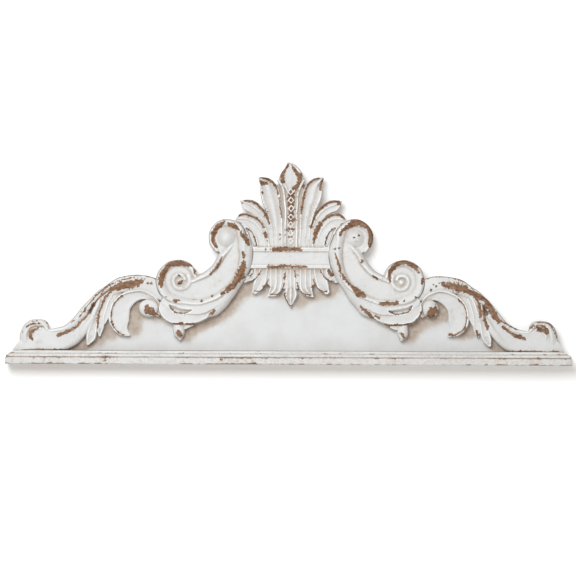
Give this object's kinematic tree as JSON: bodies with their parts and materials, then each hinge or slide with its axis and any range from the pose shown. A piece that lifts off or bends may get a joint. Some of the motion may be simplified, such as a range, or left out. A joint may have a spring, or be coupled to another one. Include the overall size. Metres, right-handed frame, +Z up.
{
  "type": "wall pediment",
  "caption": "Carved wall pediment with a palmette crest, C-scrolls and acanthus end scrolls on a moulded ledge, hung flat on a wall above a door, bed or mirror.",
  "frame": {"origin": "on the flat back of the board where it meets the wall, on the centre line, 118 mm above the ledge's underside", "axes": "+X to the right along the ledge, +Y into the wall, +Z up; the carved face looks along -Y"},
  "size_m": [1.067, 0.045, 0.382],
  "materials": {
    "carving_paint": "distressed warm white paint over brown wood, matt",
    "board_paint": "smooth off-white paint, matt",
    "ledge_paint": "distressed warm white paint with worn brown edges, matt"
  },
  "bodies": {
    "root": {"back_board": "board_paint", "ledge_moulding": "ledge_paint", "crest": "carving_paint", "left_scroll": "carving_paint", "right_scroll": "carving_paint", "left_end_scroll": "carving_paint", "right_end_scroll": "carving_paint"}
  },
  "joints": []
}
